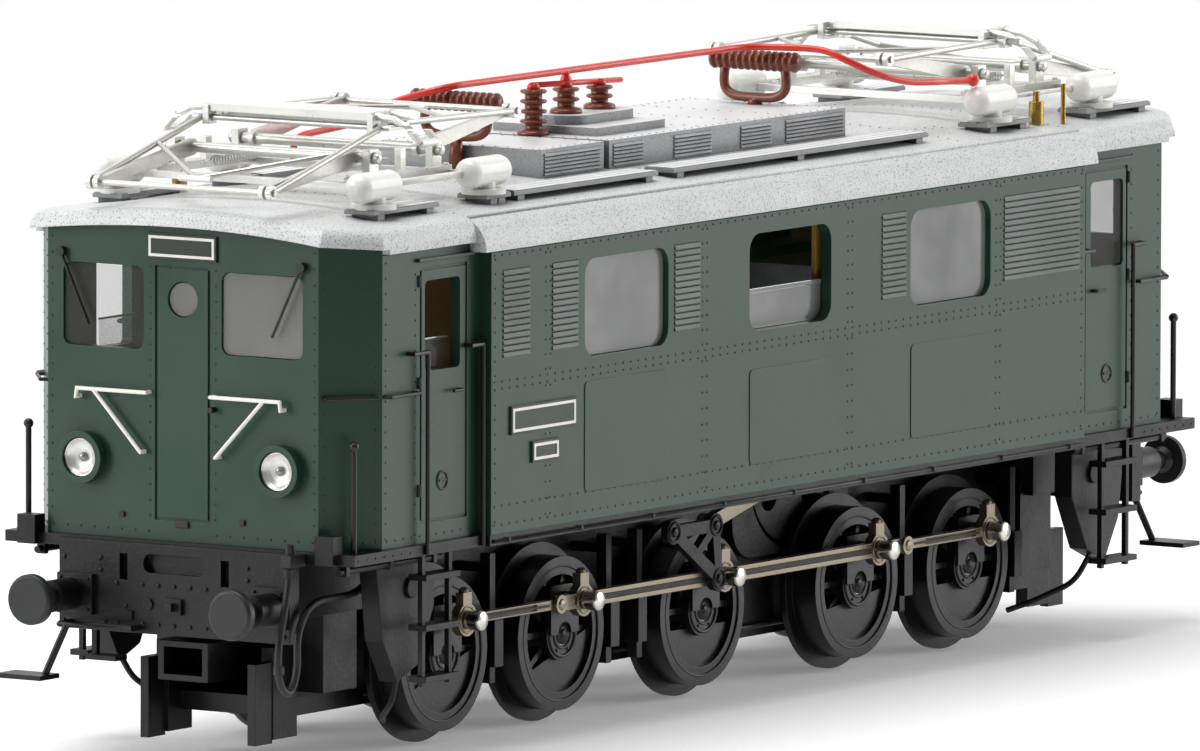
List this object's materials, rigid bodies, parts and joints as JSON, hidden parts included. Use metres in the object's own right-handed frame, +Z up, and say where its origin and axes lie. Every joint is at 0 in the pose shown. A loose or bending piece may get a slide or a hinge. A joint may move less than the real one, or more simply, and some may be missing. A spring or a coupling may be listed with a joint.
{
  "type": "model electric locomotive",
  "caption": "Boxy railway-model electric locomotive with side-rod drive, a jackshaft, two folding roof pantographs and sprung buffers.",
  "frame": {"origin": "on the level of the lowest point of the wheel flanges, under the middle of the body", "axes": "+X along the locomotive towards its rear end, +Y towards its left side, +Z up; the front end with the visible cab face points to -X"},
  "size_m": [0.1466, 0.0376, 0.0539],
  "materials": {
    "green_paint": "satin bottle-green paint",
    "roof_grey": "matt light-grey paint",
    "vent_grey": "grey metallic paint",
    "walkway_grey": "matt grey moulding",
    "window_glass": "clear polystyrene",
    "liner_ochre": "matt ochre moulding",
    "frame_black": "satin black moulding",
    "chassis_metal": "blackened die casting",
    "hose_rubber": "black flexible moulding",
    "motor_steel": "plated motor can",
    "board_green": "printed circuit board",
    "ballast_zinc": "cast ballast metal",
    "axle_steel": "bright turned steel",
    "lamp_ring": "green painted lamp ring",
    "lamp_glass": "clear lens",
    "plate_green": "dark green plate with a white border",
    "rail_black": "brown-black wire rail",
    "rail_white": "white wire rail",
    "porcelain_white": "glossy off-white insulator",
    "porcelain_brown": "glossy brown insulator",
    "busbar_red": "red lacquered wire",
    "brass": "turned brass",
    "panto_metal": "light nickel-silver, etched and drawn",
    "wheel_black": "black wheel centre and darkened tyre",
    "rod_nickel": "nickel-plated brass",
    "buffer_steel": "dark grey turned metal",
    "pan_metal": "brushed contact strip"
  },
  "bodies": {
    "locomotive": {"body_shell": "green_paint", "roof": "roof_grey", "roof_vent_box": "vent_grey", "roof_walkways": "walkway_grey", "glazing": "window_glass", "interior_liner": "liner_ochre", "underframe": "frame_black", "chassis_frame": "chassis_metal", "keeper_plate": "frame_black", "brake_rigging": "frame_black", "steps_and_ladders": "frame_black", "brake_hoses": "hose_rubber", "buffer_housings": "frame_black", "motor_can": "motor_steel", "circuit_board": "board_green", "ballast_weights": "ballast_zinc", "body_screws": "axle_steel", "headlamp_rims": "lamp_ring", "headlamp_lenses": "lamp_glass", "number_plates": "plate_green", "window_wipers": "rail_black", "front_handrails": "rail_white", "handrails": "rail_black", "base_insulators": "porcelain_white", "brown_insulators": "porcelain_brown", "busbar": "busbar_red", "brass_fittings": "brass", "pantograph_bases": "panto_metal"},
    "motor_rotor": {"motor_rotor": "axle_steel"},
    "jackshaft": {"jackshaft": "chassis_metal"},
    "wheelset_1": {"wheels_1": "wheel_black", "axle_1": "axle_steel"},
    "wheelset_2": {"wheels_2": "wheel_black", "axle_2": "axle_steel"},
    "wheelset_3": {"wheels_3": "wheel_black", "axle_3": "axle_steel"},
    "wheelset_4": {"wheels_4": "wheel_black", "axle_4": "axle_steel"},
    "wheelset_5": {"wheels_5": "wheel_black", "axle_5": "axle_steel"},
    "rods_right": {"coupling_rods_right": "rod_nickel", "drive_frame_right": "chassis_metal"},
    "rods_left": {"coupling_rods_left": "rod_nickel", "drive_frame_left": "chassis_metal"},
    "buffer_front_right": {"buffer_front_right": "buffer_steel"},
    "buffer_front_left": {"buffer_front_left": "buffer_steel"},
    "coupler_front": {"coupler_front": "frame_black"},
    "front_lower_arm_outer": {"front_lower_arm_outer": "panto_metal"},
    "front_lower_arm_inner": {"front_lower_arm_inner": "panto_metal"},
    "front_upper_arm_outer": {"front_upper_arm_outer": "panto_metal"},
    "front_upper_arm_inner": {"front_upper_arm_inner": "panto_metal"},
    "front_shoe": {"front_shoe": "pan_metal"},
    "buffer_rear_right": {"buffer_rear_right": "buffer_steel"},
    "buffer_rear_left": {"buffer_rear_left": "buffer_steel"},
    "coupler_rear": {"coupler_rear": "frame_black"},
    "rear_lower_arm_outer": {"rear_lower_arm_outer": "panto_metal"},
    "rear_lower_arm_inner": {"rear_lower_arm_inner": "panto_metal"},
    "rear_upper_arm_outer": {"rear_upper_arm_outer": "panto_metal"},
    "rear_upper_arm_inner": {"rear_upper_arm_inner": "panto_metal"},
    "rear_shoe": {"rear_shoe": "pan_metal"}
  },
  "joints": [
    {"name": "wheelset_3_spin", "type": "hinge", "parent": "locomotive", "child": "wheelset_3", "pos_m": [-0.00175, 0, 0.0076], "axis": [0, 1, 0], "continuous": true},
    {"name": "wheelset_1_spin", "type": "hinge", "parent": "locomotive", "child": "wheelset_1", "pos_m": [-0.0414, 0, 0.0076], "axis": [0, 1, 0], "continuous": true},
    {"name": "wheelset_2_spin", "type": "hinge", "parent": "locomotive", "child": "wheelset_2", "pos_m": [-0.0236, 0, 0.0076], "axis": [0, 1, 0], "continuous": true},
    {"name": "wheelset_4_spin", "type": "hinge", "parent": "locomotive", "child": "wheelset_4", "pos_m": [0.0226, 0, 0.0076], "axis": [0, 1, 0], "continuous": true},
    {"name": "wheelset_5_spin", "type": "hinge", "parent": "locomotive", "child": "wheelset_5", "pos_m": [0.0404, 0, 0.0076], "axis": [0, 1, 0], "continuous": true},
    {"name": "rods_right_on_crank", "type": "hinge", "parent": "wheelset_3", "child": "rods_right", "pos_m": [-0.00175, -0.0122, 0.0106], "axis": [0, 1, 0], "continuous": true},
    {"name": "rods_left_on_crank", "type": "hinge", "parent": "wheelset_3", "child": "rods_left", "pos_m": [0.00125, 0.0122, 0.0076], "axis": [0, 1, 0], "continuous": true},
    {"name": "jackshaft_spin", "type": "hinge", "parent": "locomotive", "child": "jackshaft", "pos_m": [0.0172, 0, 0.0175], "axis": [0, 1, 0], "continuous": true},
    {"name": "motor_spin", "type": "hinge", "parent": "locomotive", "child": "motor_rotor", "pos_m": [0, 0, 0.02425], "axis": [1, 0, 0], "continuous": true},
    {"name": "buffer_front_right_press", "type": "slide", "parent": "locomotive", "child": "buffer_front_right", "axis": [1, 0, 0], "range_m": [0, 0.001], "stiffness_N_per_m": 80, "springref_m": -0.0004},
    {"name": "buffer_front_left_press", "type": "slide", "parent": "locomotive", "child": "buffer_front_left", "axis": [1, 0, 0], "range_m": [0, 0.001], "stiffness_N_per_m": 80, "springref_m": -0.0004},
    {"name": "coupler_front_swing", "type": "hinge", "parent": "locomotive", "child": "coupler_front", "pos_m": [-0.0504, 0, 0.009], "axis": [0, 0, 1], "range_deg": [-8, 8], "stiffness_Nm_per_rad": 0.004},
    {"name": "front_pantograph_raise", "type": "hinge", "parent": "locomotive", "child": "front_lower_arm_outer", "pos_m": [-0.0519, 0, 0.0501], "axis": [0, 1, 0], "range_deg": [0, 50]},
    {"name": "front_inner_arm", "type": "hinge", "parent": "locomotive", "child": "front_lower_arm_inner", "pos_m": [-0.0425, 0, 0.0501], "axis": [0, 1, 0], "range_deg": [-29.8, 0]},
    {"name": "front_outer_knee", "type": "hinge", "parent": "front_lower_arm_outer", "child": "front_upper_arm_outer", "pos_m": [-0.0655, 0, 0.0482], "axis": [0, 1, 0], "range_deg": [-69.75, 0]},
    {"name": "front_inner_knee", "type": "hinge", "parent": "front_lower_arm_inner", "child": "front_upper_arm_inner", "pos_m": [-0.0291, 0, 0.0523], "axis": [0, 1, 0], "range_deg": [0, 65.25]},
    {"name": "front_shoe_pivot", "type": "hinge", "parent": "front_upper_arm_outer", "child": "front_shoe", "pos_m": [-0.0492, 0, 0.0524], "axis": [0, 1, 0], "range_deg": [0, 19.75]},
    {"name": "buffer_rear_right_press", "type": "slide", "parent": "locomotive", "child": "buffer_rear_right", "axis": [-1, 0, 0], "range_m": [0, 0.001], "stiffness_N_per_m": 80, "springref_m": -0.0004},
    {"name": "buffer_rear_left_press", "type": "slide", "parent": "locomotive", "child": "buffer_rear_left", "axis": [-1, 0, 0], "range_m": [0, 0.001], "stiffness_N_per_m": 80, "springref_m": -0.0004},
    {"name": "coupler_rear_swing", "type": "hinge", "parent": "locomotive", "child": "coupler_rear", "pos_m": [0.0504, 0, 0.009], "axis": [0, 0, 1], "range_deg": [-8, 8], "stiffness_Nm_per_rad": 0.004},
    {"name": "rear_pantograph_raise", "type": "hinge", "parent": "locomotive", "child": "rear_lower_arm_outer", "pos_m": [0.0519, 0, 0.0501], "axis": [0, -1, 0], "range_deg": [0, 50]},
    {"name": "rear_inner_arm", "type": "hinge", "parent": "locomotive", "child": "rear_lower_arm_inner", "pos_m": [0.0425, 0, 0.0501], "axis": [0, -1, 0], "range_deg": [-29.8, 0]},
    {"name": "rear_outer_knee", "type": "hinge", "parent": "rear_lower_arm_outer", "child": "rear_upper_arm_outer", "pos_m": [0.0655, 0, 0.0482], "axis": [0, -1, 0], "range_deg": [-69.75, 0]},
    {"name": "rear_inner_knee", "type": "hinge", "parent": "rear_lower_arm_inner", "child": "rear_upper_arm_inner", "pos_m": [0.0291, 0, 0.0523], "axis": [0, -1, 0], "range_deg": [0, 65.25]},
    {"name": "rear_shoe_pivot", "type": "hinge", "parent": "rear_upper_arm_outer", "child": "rear_shoe", "pos_m": [0.0492, 0, 0.0524], "axis": [0, -1, 0], "range_deg": [0, 19.75]}
  ],
  "couplings": [
    {"joint": "wheelset_1_spin", "follows": "wheelset_3_spin", "ratio": 1},
    {"joint": "wheelset_2_spin", "follows": "wheelset_3_spin", "ratio": 1},
    {"joint": "wheelset_4_spin", "follows": "wheelset_3_spin", "ratio": 1},
    {"joint": "wheelset_5_spin", "follows": "wheelset_3_spin", "ratio": 1},
    {"joint": "rods_right_on_crank", "follows": "wheelset_3_spin", "ratio": -1},
    {"joint": "rods_left_on_crank", "follows": "wheelset_3_spin", "ratio": -1},
    {"joint": "jackshaft_spin", "follows": "wheelset_3_spin", "ratio": 1},
    {"joint": "motor_spin", "follows": "wheelset_3_spin", "ratio": 24},
    {"joint": "front_inner_arm", "follows": "front_pantograph_raise", "ratio": -0.596},
    {"joint": "front_outer_knee", "follows": "front_pantograph_raise", "ratio": -1.395},
    {"joint": "front_inner_knee", "follows": "front_pantograph_raise", "ratio": 1.305},
    {"joint": "front_shoe_pivot", "follows": "front_pantograph_raise", "ratio": 0.395},
    {"joint": "rear_inner_arm", "follows": "rear_pantograph_raise", "ratio": -0.596},
    {"joint": "rear_outer_knee", "follows": "rear_pantograph_raise", "ratio": -1.395},
    {"joint": "rear_inner_knee", "follows": "rear_pantograph_raise", "ratio": 1.305},
    {"joint": "rear_shoe_pivot", "follows": "rear_pantograph_raise", "ratio": 0.395}
  ]
}
